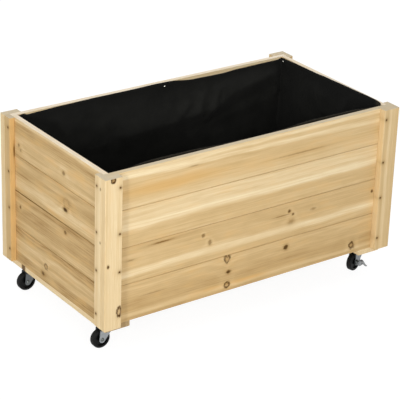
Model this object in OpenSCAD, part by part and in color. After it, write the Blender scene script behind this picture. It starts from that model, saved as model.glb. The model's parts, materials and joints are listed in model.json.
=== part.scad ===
// Rolling planter: a tongue-and-groove timber box on two bearers and four
// swivel casters, with a slatted floor and a fabric planting liner.
// Frame: origin on the ground under the middle of the box, +X along the
// length, the front wall faces -Y, +Z is up. Millimetres.

/* [Box] */
// Outside length over the corner battens
length = 900; // [760:10:1200]
// Outside depth over the corner battens
depth = 495; // [430:5:640]
// Height of one board's visible face; four boards make a wall
board_cover = 100; // [92:1:120]
// Thickness of the wall boards
board_thickness = 14; // [12:0.5:18]
// Thickness of the tongue along a board's top edge
tongue_thickness = 5; // [3:0.5:6]
// Height of the tongue
tongue_height = 5; // [3:0.5:7]
// Room between a tongue and its groove
tongue_clearance = 0.3; // [0.1:0.05:0.6]
// Open gap left between two boards on their outer face
joint_gap = 0.8; // [0.2:0.1:1.5]
// Depth of the bevel along each joint line
joint_bevel = 1; // [0.5:0.1:2.5]

/* [Corner battens] */
// Width of the battens on the long walls
long_batten_width = 48; // [40:1:60]
// Thickness of the battens on the long walls
long_batten_thickness = 20; // [16:1:24]
// Width of the battens on the short walls
short_batten_width = 27; // [24:1:40]
// Thickness of the battens on the short walls
short_batten_thickness = 15; // [12:1:18]
// Radius on the long edges of battens, bearers, ledgers and slats
edge_round = 1.5; // [0.8:0.1:2.5]

/* [Base] */
// Width of the bearers that carry the casters
bearer_width = 71; // [66:1:95]
// Thickness of the bearers
bearer_thickness = 15; // [15:1:24]
// Side of the square ledgers under the floor slats
ledger_size = 20; // [18:1:26]
// Width of a floor slat
slat_width = 100; // [80:1:100]
// Thickness of a floor slat
slat_thickness = 12; // [10:1:16]
// Gap between the last slat and the short wall
floor_end_gap = 11; // [5:1:20]
// Room at each end of a slat
slat_end_room = 1; // [0.5:0.5:3]

/* [Liner] */
// Thickness of the fabric liner
liner_thickness = 2.5; // [1.5:0.5:4]
// Distance from the wall's rim down to the liner's edge
liner_drop = 3; // [1:0.5:20]
// Corner radius of the liner
liner_corner = 6; // [4:0.5:6]
// Distance from the liner's edge down to its pins
pin_drop = 8; // [4:0.5:10]
// Diameter of a pin's dome
pin_head = 5; // [4:0.5:7]
// Distance of a short wall's pins from the box's inner corners
pin_inset = 9; // [9:0.5:60]
// Distance of a long wall's pin from the wall's middle
pin_offset = 27; // [0:1:60]

/* [Nails] */
// Diameter of a nail's head
nail_head = 4; // [3:0.5:5]
// Thickness of a nail's head
nail_head_thickness = 1; // [0.8:0.1:1.5]
// Diameter of a nail's shank
nail_shank = 2.2; // [1.6:0.1:2.6]
// Length of a nail
nail_length = 26; // [24:1:26]
// Nail line on the long walls, from the end of the box
nail_inset_long = 41.5; // [39:0.5:43]
// Nail line on the short walls, from the front or back face
nail_inset_short = 38.5; // [37:0.5:40]
// Height of the nail above the lower edge of board 1
nail_rise_1 = 34.5; // [28:0.5:80]
// Height of the nail above the lower edge of board 2
nail_rise_2 = 52; // [15:0.5:80]
// Height of the nail above the lower edge of board 3
nail_rise_3 = 53; // [15:0.5:80]
// Height of the nail above the lower edge of board 4
nail_rise_4 = 73; // [15:0.5:80]

// Distance of a bearer's end nails from its inner edge
bearer_nail_edge = 15; // [12:1:20]
// Distance of a bearer's side nails from the front or back face
bearer_nail_inset = 172; // [160:2:200]

/* [Casters] */
// Height of a caster, from the ground to the top of its plate
caster_height = 65; // [63:0.5:72]
// Distance from the front or back face to a caster's swivel axis
caster_inset = 67; // [60:1:90]
// Distance from the end of the box to a caster's swivel axis
caster_end_inset = 47.5; // [47:0.5:56]
// Wheel diameter
wheel_diameter = 50; // [46:1:50]
// Width of the wheel's tread
tread_width = 16; // [14:0.5:20]
// Width over the wheel's hub
hub_width = 17; // [15:0.5:24]
// Distance from the swivel axis back to the axle
trail = 17; // [16:0.5:22]
// Distance from a screw's centre to the edges of the mounting plate
plate_margin = 7; // [6.5:0.5:9]
// Thickness of the mounting plate
plate_thickness = 2.5; // [2:0.25:3]
// Distance between neighbouring screws of a plate
screw_pitch = 44; // [43:0.5:46]
// Length by which a screw hole in the plate is drawn out to a slot
slot_length = 3; // [1:0.5:4]
// Thickness of the fork's sheet
fork_sheet = 2.5; // [2:0.25:3]
// Radius of the fork's round end at the axle
fork_end = 8.5; // [7:0.5:9.5]
// Reach of the fork's crown behind the swivel axis
fork_back = 17.5; // [12:0.5:18.5]
// Reach of the fork's crown past the axle
fork_front = 5.5; // [2:0.5:9]
// Diameter of the axle
axle_diameter = 6; // [5:0.5:7]
// Diameter of the swivel rivet
kingpin_diameter = 8; // [7:0.5:9]
// Radial room of the turning fits
running_fit = 0.05; // [0.03:0.01:0.08]
// Diameter of the swivel balls
ball_diameter = 4.4; // [4:0.1:4.6]
// Radius of the ring of swivel balls
ball_pitch_radius = 13; // [12.5:0.1:13.3]

/* [Caster directions] */
// Direction in which the front left wheel trails
swing_front_left = 180; // [-180:1:360]
// Direction in which the front right wheel trails
swing_front_right = 197; // [-180:1:360]
// Direction in which the back left wheel trails
swing_back_left = 180; // [-180:1:360]
// Direction in which the back right wheel trails
swing_back_right = 168; // [-180:1:360]

/* [Brake] */
// Radius of the round collar that the brake's cam presses on
collar_radius = 7.4; // [6:0.1:9]
// Thickness of the collar
collar_thickness = 3.5; // [3:0.25:4.5]
// Radius of the lever's two round cheeks
cheek_radius = 6.2; // [5.5:0.1:7]
// How far the cheeks stand off their pin towards the collar, as a cam
cam_offset = 0.6; // [0.2:0.1:1]
// Width of the brake lever
lever_width = 9.4; // [9:0.2:14]
// Thickness of the lever's arm
lever_thickness = 1.6; // [1.2:0.1:2.4]
// Width of the lever's arm at its tip
lever_tip_width = 5; // [4:0.2:9]
// Reach of the lever beyond its pivot
lever_reach = 20; // [18:0.5:28]
// Angle by which the lever lifts to free the wheel
lever_lift = 40; // [25:1:45]
// Radius of the arm where it bends down over the pin
bend_radius = 13; // [11:0.5:15]
// Steepest slope of the arm, between its bend and its flared tip
bend_angle = 54; // [38:1:56]

/* [Hidden] */
$fn = 48;
rows = 4;
slats = 7;

// Levels above the ground
base_z = caster_height + bearer_thickness;
wall_height = rows * board_cover;
rim_z = base_z + wall_height;
slat_z = base_z + ledger_size;
liner_z = slat_z + slat_thickness;
liner_top = rim_z - liner_drop;
pin_z = liner_top - pin_drop;

// Half sizes of the box at its faces
half_l = length / 2;
half_d = depth / 2;
short_face = half_l - short_batten_thickness;
short_inner = short_face - board_thickness;
long_face = half_d - long_batten_thickness;
long_inner = long_face - board_thickness;

// Floor: the gap between slats follows from the inside length
slat_gap = (2 * short_inner - 2 * floor_end_gap - slats * slat_width)
    / (slats - 1);
slat_step = slat_width + slat_gap;

// Nails
nail_rises = [nail_rise_1, nail_rise_2, nail_rise_3, nail_rise_4];
nail_room = 0.15;
slat_nail_offset = slat_width * 0.3;

// Casters: one column per corner
pivot_x = half_l - caster_end_inset;
pivot_y = half_d - caster_inset;
FRONT_LEFT = 0;
FRONT_RIGHT = 1;
BACK_LEFT = 2;
BACK_RIGHT = 3;
corner_x = [-1, 1, -1, 1];
corner_y = [-1, -1, 1, 1];
swings = [swing_front_left, swing_front_right,
    swing_back_left, swing_back_right];

wheel_r = wheel_diameter / 2;
axle_r = axle_diameter / 2;
kingpin_r = kingpin_diameter / 2;
ball_r = ball_diameter / 2;
plate_size = screw_pitch + 2 * plate_margin;
plate_bottom = caster_height - plate_thickness;
crown_bottom = wheel_diameter + 2;
crown_top = crown_bottom + fork_sheet;
crown_r = 19;
race_r = 17;
shield = 1.2;
ball_z = (crown_top + plate_bottom) / 2;
race_gap = ball_diameter * 0.68;
hub_room = 0.5;
tread_room = 1;
fork_inside = max(hub_width + 2 * hub_room, tread_width + 2 * tread_room);
fork_outside = fork_inside + 2 * fork_sheet;
screw_head_r = 4;
screw_r = 2;
screw_bite = 11;

// Brake: the cam just clears the collar, also when the lever is lifted
eye_r = 4;
eye_width = 6;
cheek_room = 0.3;
collar_face = fork_outside / 2 + collar_thickness;
cam_reach = cheek_radius + cam_offset;
pivot_out = collar_face + cam_reach + cheek_room;
lever_pin_r = 1.5;
bridge_z = eye_r + 2.5;
lever_rise = cam_reach / sin(lever_lift) - lever_thickness / 2;

// ---------------------------------------------------------------- helpers

// Turns a profile (across, up) into a bar along +X
module along_x(l) {
    rotate([90, 0, 90]) linear_extrude(l) children();
}

// Turns a profile (x, up) into a bar centred on Y
module along_y(l) {
    translate([0, l / 2, 0]) rotate([90, 0, 0]) linear_extrude(l) children();
}

// Rectangle with rounded corners, lower left corner at the origin
module eased(w, h, r) {
    translate([r, 0]) square([w - 2 * r, h]);
    translate([0, r]) square([w, h - 2 * r]);
    for (x = [r, w - r], y = [r, h - r])
        translate([x, y]) circle(r, $fn = 24);
}

// Mirrors a piece drawn at the +X +Y corner into the corner (sx, sy)
module to_corner(sx, sy) {
    mirror([sx < 0 ? 1 : 0, 0, 0])
        mirror([0, sy < 0 ? 1 : 0, 0])
            children();
}

// ------------------------------------------------------------------ nails

// Nail with its flat head at z = 0 and its shank downwards; a point on the
// end, and room all round when it is drawn as a hole
module nail(room = 0) {
    shank_r = nail_shank / 2 + room;
    point = 3;
    translate([0, 0, -nail_head_thickness])
        cylinder(r = nail_head / 2 + room, h = nail_head_thickness + room);
    translate([0, 0, point - nail_length - room])
        cylinder(r = shank_r,
            h = nail_length + room - point - nail_head_thickness / 2);
    translate([0, 0, -nail_length - room])
        cylinder(r1 = 0.4 + room, r2 = shank_r, h = point);
}

// Places for the nail of one board on a long wall
module on_long_wall(sx, sy, row) {
    to_corner(sx, sy)
        translate([half_l - nail_inset_long, half_d,
            base_z + (row - 1) * board_cover + nail_rises[row - 1]])
            rotate([-90, 0, 0]) children();
}

// Places for the nail of one board on a short wall
module on_short_wall(sx, sy, row) {
    to_corner(sx, sy)
        translate([half_l, half_d - nail_inset_short,
            base_z + (row - 1) * board_cover + nail_rises[row - 1]])
            rotate([0, 90, 0]) children();
}

// Places for the four nails of a slat
module on_slat(i) {
    x = slat_x(i);
    for (dx = [-slat_nail_offset, slat_nail_offset], sy = [-1, 1])
        translate([x + dx, sy * (long_inner - ledger_size / 2), liner_z])
            children();
}

// Places along a ledger, under the gaps' neighbours, driven into the wall
module on_ledger(sy) {
    for (i = [1, 3, 5, 7])
        to_corner(1, sy)
            translate([slat_x(i), long_inner - ledger_size,
                base_z + ledger_size / 2])
                rotate([90, 0, 0]) children();
}

// Places under a bearer, driven up into the ends of the long walls
module on_bearer_ends(sx, sy) {
    to_corner(sx, sy)
        translate([short_face - bearer_width + bearer_nail_edge,
            long_face - board_thickness / 2, caster_height])
            rotate([180, 0, 0]) children();
}

// Places under a bearer, driven up into the short wall
module on_bearer_side(sx, sy) {
    to_corner(sx, sy)
        translate([short_face - board_thickness / 2,
            half_d - bearer_nail_inset, caster_height])
            rotate([180, 0, 0]) children();
}

module nails() {
    color("#6b5f50") {
        for (sx = [-1, 1], sy = [-1, 1]) {
            for (row = [1:rows]) {
                on_long_wall(sx, sy, row) nail();
                on_short_wall(sx, sy, row) nail();
            }
            on_bearer_ends(sx, sy) nail();
            on_bearer_side(sx, sy) nail();
        }
        for (i = [1:slats])
            on_slat(i) nail();
        for (sy = [-1, 1])
            on_ledger(sy) nail();
    }
}

// ------------------------------------------------------------------ walls

// Section of a wall board, outer face at x = 0: a tongue above, a groove
// below and a bevel along each joint on the outer face. The boards meet on
// their inner shoulders; outside, the lower lip is cut back by the gap.
module board_section(row) {
    t = board_thickness;
    middle = (t - tongue_thickness) / 2;
    groove = tongue_thickness + 2 * tongue_clearance;
    lip = (t - groove) / 2;
    side = joint_bevel * sqrt(2);
    difference() {
        union() {
            square([t, board_cover]);
            if (row < rows)
                translate([middle, board_cover - 1])
                    square([tongue_thickness, tongue_height + 1]);
        }
        if (row > 1) {
            translate([lip, -1])
                square([groove, tongue_height + tongue_clearance + 1]);
            translate([-1, -1]) square([lip + 2, joint_gap + 1]);
            translate([0, joint_gap])
                rotate(45) square(side, center = true);
        }
        translate([0, board_cover]) rotate(45) square(side, center = true);
    }
}

// Board of the long wall on side sy
module long_board(row, sy) {
    color(row % 2 == 0 ? "#dcbd8e" : "#cda974")
        difference() {
            mirror([0, sy > 0 ? 1 : 0, 0])
                translate([-short_face, -long_face,
                    base_z + (row - 1) * board_cover])
                    along_x(2 * short_face) board_section(row);
            for (sx = [-1, 1]) {
                on_long_wall(sx, sy, row) nail(nail_room);
                if (row == 1)
                    on_bearer_ends(sx, sy) nail(nail_room);
            }
            if (row == 1)
                on_ledger(sy) nail(nail_room);
            if (row == rows)
                on_long_pins(sy) liner_pin(0.1);
        }
}

// Board of the short wall on side sx
module short_board(row, sx) {
    color(row % 2 == 0 ? "#d3b283" : "#c49f69")
        difference() {
            mirror([sx > 0 ? 1 : 0, 0, 0])
                translate([-short_face, 0,
                    base_z + (row - 1) * board_cover])
                    along_y(2 * long_inner) board_section(row);
            for (sy = [-1, 1]) {
                on_short_wall(sx, sy, row) nail(nail_room);
                if (row == 1)
                    on_bearer_side(sx, sy) nail(nail_room);
            }
            if (row == rows)
                on_short_pins(sx) liner_pin(0.1);
        }
}

module front_board_1() { long_board(1, -1); }
module front_board_2() { long_board(2, -1); }
module front_board_3() { long_board(3, -1); }
module front_board_4() { long_board(4, -1); }
module back_board_1() { long_board(1, 1); }
module back_board_2() { long_board(2, 1); }
module back_board_3() { long_board(3, 1); }
module back_board_4() { long_board(4, 1); }
module left_board_1() { short_board(1, -1); }
module left_board_2() { short_board(2, -1); }
module left_board_3() { short_board(3, -1); }
module left_board_4() { short_board(4, -1); }
module right_board_1() { short_board(1, 1); }
module right_board_2() { short_board(2, 1); }
module right_board_3() { short_board(3, 1); }
module right_board_4() { short_board(4, 1); }

// Batten on a long wall, at the corner (sx, sy)
module long_batten(sx, sy) {
    color("#e6cda4")
        difference() {
            to_corner(sx, sy)
                translate([half_l - long_batten_width, long_face, base_z])
                    linear_extrude(wall_height)
                        eased(long_batten_width, long_batten_thickness,
                            edge_round);
            for (row = [1:rows])
                on_long_wall(sx, sy, row) nail(nail_room);
        }
}

// Batten on a short wall; it closes the end of the long wall's boards
module short_batten(sx, sy) {
    color("#e0c598")
        difference() {
            to_corner(sx, sy)
                translate([short_face, long_face - short_batten_width,
                    base_z])
                    linear_extrude(wall_height)
                        eased(short_batten_thickness, short_batten_width,
                            edge_round);
            for (row = [1:rows])
                on_short_wall(sx, sy, row) nail(nail_room);
        }
}

module front_left_batten() { long_batten(-1, -1); }
module front_right_batten() { long_batten(1, -1); }
module back_left_batten() { long_batten(-1, 1); }
module back_right_batten() { long_batten(1, 1); }
module left_front_batten() { short_batten(-1, -1); }
module left_back_batten() { short_batten(-1, 1); }
module right_front_batten() { short_batten(1, -1); }
module right_back_batten() { short_batten(1, 1); }

// ------------------------------------------------------------------- base

// Bearer under the short wall on side sx
module bearer(sx) {
    color("#d9bd8f")
        difference() {
            mirror([sx < 0 ? 1 : 0, 0, 0])
                translate([short_face - bearer_width, 0, caster_height])
                    along_y(2 * long_face)
                        eased(bearer_width, bearer_thickness, edge_round);
            for (sy = [-1, 1]) {
                on_bearer_ends(sx, sy) nail(nail_room);
                on_bearer_side(sx, sy) nail(nail_room);
            }
            for (i = [0:3])
                if (corner_x[i] == sx)
                    at_pivot(i) on_screws() screw(nail_room);
        }
}

// Ledger along the inside of the long wall on side sy
module ledger(sy) {
    color("#cfae7c")
        difference() {
            mirror([0, sy < 0 ? 1 : 0, 0])
                translate([-short_inner, long_inner - ledger_size, base_z])
                    along_x(2 * short_inner)
                        eased(ledger_size, ledger_size, edge_round);
            for (i = [1:slats])
                on_slat(i) nail(nail_room);
            on_ledger(sy) nail(nail_room);
        }
}

function slat_x(i) = (i - (slats + 1) / 2) * slat_step;

module floor_slat(i) {
    l = 2 * (long_inner - slat_end_room);
    color("#c9a876")
        difference() {
            translate([slat_x(i) - slat_width / 2, 0, slat_z])
                along_y(l) eased(slat_width, slat_thickness, edge_round);
            on_slat(i) nail(nail_room);
        }
}

module left_bearer() { bearer(-1); }
module right_bearer() { bearer(1); }
module front_ledger() { ledger(-1); }
module back_ledger() { ledger(1); }
module slat_1() { floor_slat(1); }
module slat_2() { floor_slat(2); }
module slat_3() { floor_slat(3); }
module slat_4() { floor_slat(4); }
module slat_5() { floor_slat(5); }
module slat_6() { floor_slat(6); }
module slat_7() { floor_slat(7); }

// ------------------------------------------------------------------ liner

// Upright bar with the plan of the liner, drawn smaller by inset all round
module liner_block(inset, z0, z1) {
    w = 2 * (short_inner - inset);
    d = 2 * (long_inner - inset);
    translate([-w / 2, -d / 2, z0])
        linear_extrude(z1 - z0)
            eased(w, d, liner_corner - inset);
}

module liner() {
    color("#181b18")
        difference() {
            liner_block(0, liner_z, liner_top);
            liner_block(liner_thickness, liner_z + liner_thickness,
                liner_top + 1);
            at_pins() liner_pin(0.1);
        }
}

// Pin with its dome's flat side at z = 0 and its shank downwards
module liner_pin(room = 0) {
    dome = pin_head / 2;
    if (room == 0)
        intersection() {
            translate([0, 0, -dome * 0.6]) sphere(r = dome * 1.1662);
            cylinder(r = dome, h = dome);
        }
    translate([0, 0, -liner_thickness - 7])
        cylinder(r = 0.6 + room, h = liner_thickness + 7 + 0.4);
}

// Pins stand on the liner's inner face: one on a long wall, off its middle
module on_long_pins(sy) {
    translate([pin_offset, sy * (long_inner - liner_thickness), pin_z])
        rotate([sy * 90, 0, 0]) children();
}

// and one near each end of a short wall
module on_short_pins(sx) {
    for (sy = [-1, 1])
        translate([sx * (short_inner - liner_thickness),
            sy * (long_inner - pin_inset), pin_z])
            rotate([0, -sx * 90, 0]) children();
}

module at_pins() {
    for (s = [-1, 1]) {
        on_long_pins(s) children();
        on_short_pins(s) children();
    }
}

module liner_pins() {
    color("#b9b6ad") at_pins() liner_pin();
}

// ---------------------------------------------------------------- casters

// Caster frame without and with the swivel's turn: z up from the ground,
// swivel axis at the origin, wheel trailing towards +X
module at_pivot(i) {
    translate([corner_x[i] * pivot_x, corner_y[i] * pivot_y, 0]) children();
}

module at_caster(i) {
    at_pivot(i) rotate([0, 0, swings[i]]) children();
}

// Places of a plate's four screws, heads downwards and their +X outwards
module on_screws() {
    for (a = [45:90:315])
        rotate([0, 0, a])
            translate([screw_pitch / sqrt(2), 0, plate_bottom])
                rotate([180, 0, 0]) children();
}

// Pan head screw with the underside of its head at z = 0
module screw(room = 0) {
    long = plate_thickness + screw_bite;
    translate([0, 0, -long - room])
        cylinder(r = screw_r + room, h = long + room + 0.2);
    if (room == 0)
        difference() {
            union() {
                cylinder(r = screw_head_r, h = 1.2);
                translate([0, 0, 1.2])
                    cylinder(r1 = screw_head_r, r2 = 2.4, h = 1);
            }
            for (a = [0, 90])
                rotate([0, 0, a])
                    translate([-2.2, -0.4, 1.2]) cube([4.4, 0.8, 2]);
        }
}

module caster_screws() {
    color("#b4b5b3")
        for (i = [0:3]) at_pivot(i) on_screws() screw();
}

// Groove that the balls run in, as a section (radius, height)
module race_groove() {
    translate([ball_pitch_radius, ball_z]) circle(ball_r + 0.1, $fn = 32);
}

// Mounting plate with the pressed upper race beneath
module caster_plate(i) {
    hole_r = kingpin_r + running_fit;
    color("#a9acad")
        at_pivot(i)
            difference() {
                union() {
                    translate([-plate_size / 2, -plate_size / 2,
                        plate_bottom])
                        linear_extrude(plate_thickness)
                            eased(plate_size, plate_size, 6);
                    translate([0, 0, ball_z + race_gap / 2])
                        cylinder(r = race_r, $fn = 96,
                            h = plate_bottom - ball_z - race_gap / 2
                                + plate_thickness / 2);
                }
                rotate_extrude($fn = 96) race_groove();
                cylinder(r = hole_r, h = caster_height + 1);
                translate([0, 0, plate_bottom])
                    cylinder(r1 = hole_r, r2 = hole_r + 2.2,
                        h = plate_thickness);
                translate([0, 0, caster_height])
                    cylinder(r = hole_r + 2.2, h = 1);
                on_screws() plate_slot();
            }
}

// Slot for a screw; it points at the swivel axis
module plate_slot() {
    slot_r = screw_r + 0.4;
    translate([0, 0, -plate_thickness - 1])
        linear_extrude(plate_thickness + 2) {
            square([slot_length, 2 * slot_r], center = true);
            for (s = [-1, 1])
                translate([s * slot_length / 2, 0]) circle(slot_r);
        }
}

// Rivet that the fork swivels on, with a countersunk head in the plate
module kingpins() {
    head_z = crown_bottom - 0.1;
    color("#8e9192")
        for (i = [0:3])
            at_pivot(i) {
                translate([0, 0, head_z - 0.5])
                    cylinder(r = kingpin_r, h = caster_height - head_z + 0.5);
                translate([0, 0, plate_bottom])
                    cylinder(r1 = kingpin_r, r2 = kingpin_r + 2.2,
                        h = plate_thickness);
                translate([0, 0, head_z - 1.4])
                    cylinder(r = 6.5, h = 1.4);
                translate([0, 0, head_z - 2.6])
                    cylinder(r1 = 4.5, r2 = 6.5, h = 1.2);
            }
}

module swivel_balls() {
    balls = 12;
    color("#c9cccd")
        for (i = [0:3], k = [0:balls - 1])
            at_pivot(i)
                rotate([0, 0, k * 360 / balls])
                    translate([ball_pitch_radius, 0, ball_z])
                        sphere(r = ball_r);
}

// Angle at which a line from point p touches the circle (c, r); turn is 1
// for the left tangent and -1 for the right one
function touch(p, c, r, turn) =
    let (v = p - c, a = atan2(v[1], v[0]) + turn * acos(r / norm(v)))
    c + r * [cos(a), sin(a)];

// Side view of the fork: straight edges from the crown, both tangent to
// the round end at the axle
module fork_side() {
    c = [trail, wheel_r];
    near = [-fork_back, crown_top];
    far = [trail + fork_front, crown_top];
    polygon([near, far, touch(far, c, fork_end, -1), c,
        touch(near, c, fork_end, 1)]);
    translate(c) circle(fork_end, $fn = 96);
}

// Arch with rounded shoulders, open below, as a section across the wheel
module arch(w, top, r) {
    translate([-w / 2, 0]) square([w, top - r]);
    translate([-w / 2 + r, 0]) square([w - 2 * r, top]);
    for (s = [-1, 1])
        translate([s * (w / 2 - r), top - r]) circle(r);
}

// Swivel fork: one folded sheet, a crown with the lower race, a shield
// round the balls and two tapered legs
module caster_fork(i) {
    color("#b0b3b4")
        at_caster(i)
            difference() {
                union() {
                    intersection() {
                        translate([-crown_r, 0, 0])
                            along_x(trail + fork_end + crown_r + 2)
                                difference() {
                                    arch(fork_outside, crown_top, 4);
                                    arch(fork_inside, crown_bottom,
                                        4 - fork_sheet);
                                }
                        along_y(fork_outside + 2) fork_side();
                    }
                    rotate_extrude($fn = 96) {
                        translate([0, crown_bottom])
                            square([crown_r, fork_sheet]);
                        translate([0, crown_bottom + 1])
                            square([race_r - 0.5, ball_z - race_gap / 2
                                - crown_bottom - 1]);
                        translate([crown_r - shield, crown_bottom + 1])
                            square([shield,
                                plate_bottom - crown_bottom - 2]);
                    }
                }
                rotate_extrude($fn = 96) race_groove();
                cylinder(r = kingpin_r + running_fit,
                    h = caster_height);
                translate([trail, 0, wheel_r]) rotate([90, 0, 0])
                    cylinder(r = axle_r + 0.1, h = fork_outside + 2,
                        center = true);
            }
}

// Section of the wheel: hub, thin web and a tyre with rounded shoulders
module wheel_section() {
    bore_r = axle_r + running_fit;
    rim_r = wheel_r * 0.72;
    shoulder = 3.5;
    half_tread = tread_width / 2;
    translate([bore_r, -hub_width / 2])
        square([4.6, hub_width]);
    translate([bore_r, -3.5])
        square([rim_r - bore_r + 1, 7]);
    translate([rim_r, -half_tread])
        square([wheel_r - shoulder - rim_r, tread_width]);
    translate([rim_r, shoulder - half_tread])
        square([wheel_r - rim_r, tread_width - 2 * shoulder]);
    for (s = [-1, 1])
        translate([wheel_r - shoulder, s * (half_tread - shoulder)])
            circle(shoulder);
}

module caster_wheel(i) {
    color("#1d1e20")
        at_caster(i)
            translate([trail, 0, wheel_r]) rotate([90, 0, 0])
                rotate_extrude($fn = 128) wheel_section();
}

// Axle rivet, drawn along the wheel's axis with its middle at the origin;
// with a brake, its outer end carries a round collar and the lever's eye
module caster_axle(i, brake) {
    face = fork_outside / 2;
    color("#8f9294")
        at_caster(i)
            translate([trail, 0, wheel_r]) {
                rotate([90, 0, 0]) {
                    cylinder(r = axle_r, h = 2 * face + 1, center = true);
                    axle_head(face);
                }
                if (brake)
                    brake_end();
                else
                    rotate([-90, 0, 0]) axle_head(face);
            }
}

module axle_head(face) {
    translate([0, 0, face]) cylinder(r = 5, h = 1);
    translate([0, 0, face + 1]) cylinder(r1 = 5, r2 = 3.4, h = 1.3);
}

module brake_end() {
    rotate([-90, 0, 0])
        translate([0, 0, fork_outside / 2])
            cylinder(r = collar_radius, h = collar_thickness - 1);
    rotate([-90, 0, 0])
        translate([0, 0, collar_face - 1])
            cylinder(r1 = collar_radius, r2 = collar_radius - 1, h = 1);
    difference() {
        union() {
            rotate([-90, 0, 0])
                intersection() {
                    cylinder(r = eye_r, h = pivot_out);
                    translate([-eye_width / 2, -eye_r, collar_face - 1])
                        cube([eye_width, 2 * eye_r, pivot_out]);
                }
            translate([-eye_width / 2, pivot_out, 0])
                rotate([0, 90, 0]) cylinder(r = eye_r, h = eye_width);
        }
        translate([-eye_width / 2 - 1, pivot_out, 0])
            rotate([0, 90, 0])
                cylinder(r = lever_pin_r + running_fit, h = eye_width + 2);
    }
}

// Turns a profile (outwards, up) into a bar centred on the lever's axis
module lever_bar(w) {
    translate([-w / 2, 0, 0]) along_x(w) children();
}

// Direction at angle a, clockwise from straight up
function heading(a) = [sin(a), cos(a)];

// Points along a circle (c, r) between two such angles
function arc(c, r, from, to, steps = 14) =
    [for (k = [0:steps]) c + r * heading(from + (to - from) * k / steps)];

// Brake lever, pivot at the origin: two cheeks on one pin, joined over the
// eye by the arm, which bends down and then flares out to a rolled tip
module brake_lever(i) {
    gap = eye_width + 0.6;
    half = lever_thickness / 2;
    cut = 4 * cheek_radius;
    bend_c = [0, lever_rise - bend_radius];
    flare_r = lever_reach / sin(bend_angle) - bend_radius;
    flare_c = bend_c + (bend_radius + flare_r) * heading(bend_angle);
    color("#77797a")
        at_caster(i)
            translate([trail, pivot_out, wheel_r]) {
                difference() {
                    lever_bar(lever_width) {
                        translate([-cam_offset, 0]) circle(cheek_radius);
                        intersection() {
                            translate(bend_c)
                                circle(bend_radius, $fn = 128);
                            square([cheek_radius, lever_rise]);
                        }
                    }
                    translate([-gap / 2, -cut / 2, bridge_z - cut])
                        cube([gap, cut, cut]);
                }
                translate([-lever_width / 2 + 1, 0, 0])
                    rotate([0, 90, 0])
                        cylinder(r = lever_pin_r, h = lever_width - 2);
                intersection() {
                    lever_bar(lever_width) {
                        polygon(concat(
                            arc(bend_c, bend_radius + half, 0, bend_angle),
                            arc(flare_c, flare_r - half,
                                180 + bend_angle, 180),
                            arc(flare_c, flare_r + half,
                                180, 180 + bend_angle),
                            arc(bend_c, bend_radius - half, bend_angle, 0)));
                        translate(flare_c - [0, flare_r])
                            circle(lever_thickness * 0.7);
                    }
                    translate([0, 0, -lever_reach])
                        linear_extrude(lever_reach + 2 * lever_rise)
                            lever_plan();
                }
            }
}

// The lever seen from above: full width over its cheeks, then a taper to
// a round tip
module lever_plan() {
    w = lever_width / 2;
    tip_r = lever_tip_width / 2;
    tip_y = lever_reach + lever_thickness - tip_r;
    polygon([[-w, -lever_thickness], [w, -lever_thickness],
        [w, cheek_radius], [tip_r, tip_y],
        [-tip_r, tip_y], [-w, cheek_radius]]);
    translate([0, tip_y]) circle(tip_r);
}

module front_left_plate() { caster_plate(FRONT_LEFT); }
module front_right_plate() { caster_plate(FRONT_RIGHT); }
module back_left_plate() { caster_plate(BACK_LEFT); }
module back_right_plate() { caster_plate(BACK_RIGHT); }
module front_left_fork() { caster_fork(FRONT_LEFT); }
module front_right_fork() { caster_fork(FRONT_RIGHT); }
module back_left_fork() { caster_fork(BACK_LEFT); }
module back_right_fork() { caster_fork(BACK_RIGHT); }
module front_left_axle() { caster_axle(FRONT_LEFT, false); }
module front_right_axle() { caster_axle(FRONT_RIGHT, true); }
module back_left_axle() { caster_axle(BACK_LEFT, false); }
module back_right_axle() { caster_axle(BACK_RIGHT, true); }
module front_left_wheel() { caster_wheel(FRONT_LEFT); }
module front_right_wheel() { caster_wheel(FRONT_RIGHT); }
module back_left_wheel() { caster_wheel(BACK_LEFT); }
module back_right_wheel() { caster_wheel(BACK_RIGHT); }
module front_right_lever() { brake_lever(FRONT_RIGHT); }
module back_right_lever() { brake_lever(BACK_RIGHT); }

// --------------------------------------------------------------- assembly

front_board_1();
front_board_2();
front_board_3();
front_board_4();
back_board_1();
back_board_2();
back_board_3();
back_board_4();
left_board_1();
left_board_2();
left_board_3();
left_board_4();
right_board_1();
right_board_2();
right_board_3();
right_board_4();
front_left_batten();
front_right_batten();
back_left_batten();
back_right_batten();
left_front_batten();
left_back_batten();
right_front_batten();
right_back_batten();
left_bearer();
right_bearer();
front_ledger();
back_ledger();
slat_1();
slat_2();
slat_3();
slat_4();
slat_5();
slat_6();
slat_7();
liner();
liner_pins();
nails();
caster_screws();
kingpins();
swivel_balls();
front_left_plate();
front_right_plate();
back_left_plate();
back_right_plate();
front_left_fork();
front_right_fork();
back_left_fork();
back_right_fork();
front_left_axle();
front_right_axle();
back_left_axle();
back_right_axle();
front_left_wheel();
front_right_wheel();
back_left_wheel();
back_right_wheel();
front_right_lever();
back_right_lever();
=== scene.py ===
# %% [markdown]
# # A rolling planter in pine
#
# The planter is a box of tongue-and-groove boards on four casters, with a black fabric liner.
# The solids come from a CAD model, so this lesson gives them their finishes, hangs the cloth of
# the liner, and sets up the camera and the light to photograph the result. Everything is in
# metres, in the CAD model's own frame.

# %% Load the frame
import json
import math

import bmesh
import bpy
from mathutils import Matrix, Vector, noise


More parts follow.
